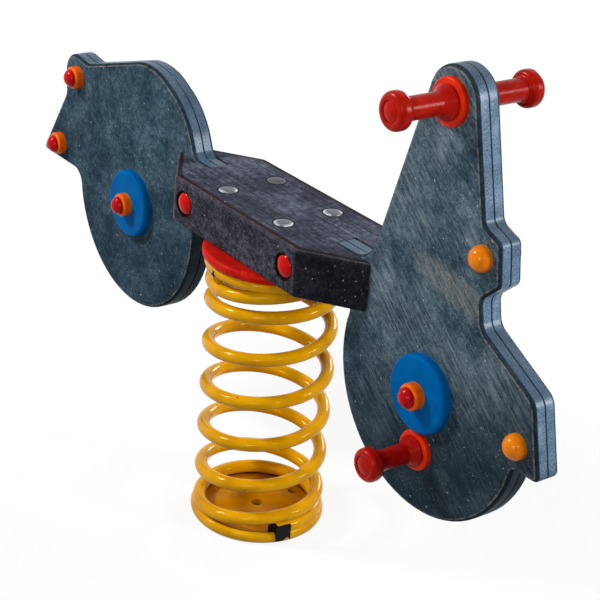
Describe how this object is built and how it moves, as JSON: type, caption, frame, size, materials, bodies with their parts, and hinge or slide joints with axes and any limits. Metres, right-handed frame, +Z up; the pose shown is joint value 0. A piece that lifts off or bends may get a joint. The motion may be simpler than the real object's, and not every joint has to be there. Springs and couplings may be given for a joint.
{
  "type": "spring rider",
  "caption": "Playground spring rider: a coil spring on a ground plate carries a slotted seat block with motorbike-shaped front and rear panels, handles, foot pegs and hub covers.",
  "frame": {"origin": "centre of the ground plate's underside, on the axis of the coil", "axes": "+X forward, from the seat towards the panel with the handles; +Y to the rider's left; +Z up"},
  "size_m": [1.2315, 0.235, 0.8183],
  "materials": {
    "yellow_paint": "gloss",
    "black_clip": "matte",
    "zinc_steel": "satin",
    "red_plastic": "gloss",
    "bright_red_plastic": "gloss",
    "charcoal_board": "satin",
    "slate_board": "satin",
    "blue_plastic": "satin",
    "orange_plastic": "gloss"
  },
  "bodies": {
    "base": {"base_plate": "yellow_paint", "base_clip": "black_clip"},
    "spring": {"spring": "yellow_paint"},
    "rider": {"top_clip": "black_clip", "top_plate": "yellow_paint", "plate_screws": "zinc_steel", "mounting_disc": "bright_red_plastic", "seat_tee_nuts": "zinc_steel", "seat": "charcoal_board", "seat_bolts": "zinc_steel", "seat_clamp_bolts": "zinc_steel", "seat_clamp_washers": "zinc_steel", "seat_clamp_nuts": "zinc_steel", "seat_caps": "red_plastic", "front_panel_right": "slate_board", "front_panel_left": "slate_board", "rear_panel_right": "slate_board", "rear_panel_left": "slate_board", "handle_right": "red_plastic", "handle_left": "red_plastic", "handle_rosettes": "bright_red_plastic", "handle_plugs": "red_plastic", "handle_rod": "zinc_steel", "handle_nuts": "zinc_steel", "peg_right": "red_plastic", "peg_left": "red_plastic", "peg_rosettes": "bright_red_plastic", "peg_plugs": "red_plastic", "peg_rod": "zinc_steel", "peg_nuts": "zinc_steel", "front_hub_disc_right": "blue_plastic", "front_hub_disc_left": "blue_plastic", "rear_hub_disc_right": "blue_plastic", "rear_hub_disc_left": "blue_plastic", "hub_cover_rings": "orange_plastic", "hub_cover_domes": "red_plastic", "hub_bolts": "zinc_steel", "hub_nuts": "zinc_steel", "tail_cover_rings": "orange_plastic", "tail_cover_domes": "red_plastic", "tail_bolts": "zinc_steel", "tail_nuts": "zinc_steel", "front_dome_bases": "orange_plastic", "front_domes": "orange_plastic", "front_dome_bolts": "zinc_steel", "front_dome_nuts": "zinc_steel"}
  },
  "joints": [
    {"name": "rock", "type": "hinge", "parent": "base", "child": "spring", "pos_m": [0, 0, 0.14], "axis": [0, 1, 0], "range_deg": [-20, 20], "stiffness_Nm_per_rad": 470, "deforming": ["spring"]},
    {"name": "sway", "type": "hinge", "parent": "spring", "child": "rider", "pos_m": [0, 0, 0.28], "axis": [1, 0, 0], "range_deg": [-12, 12], "stiffness_Nm_per_rad": 470, "deforming": ["spring"]}
  ]
}
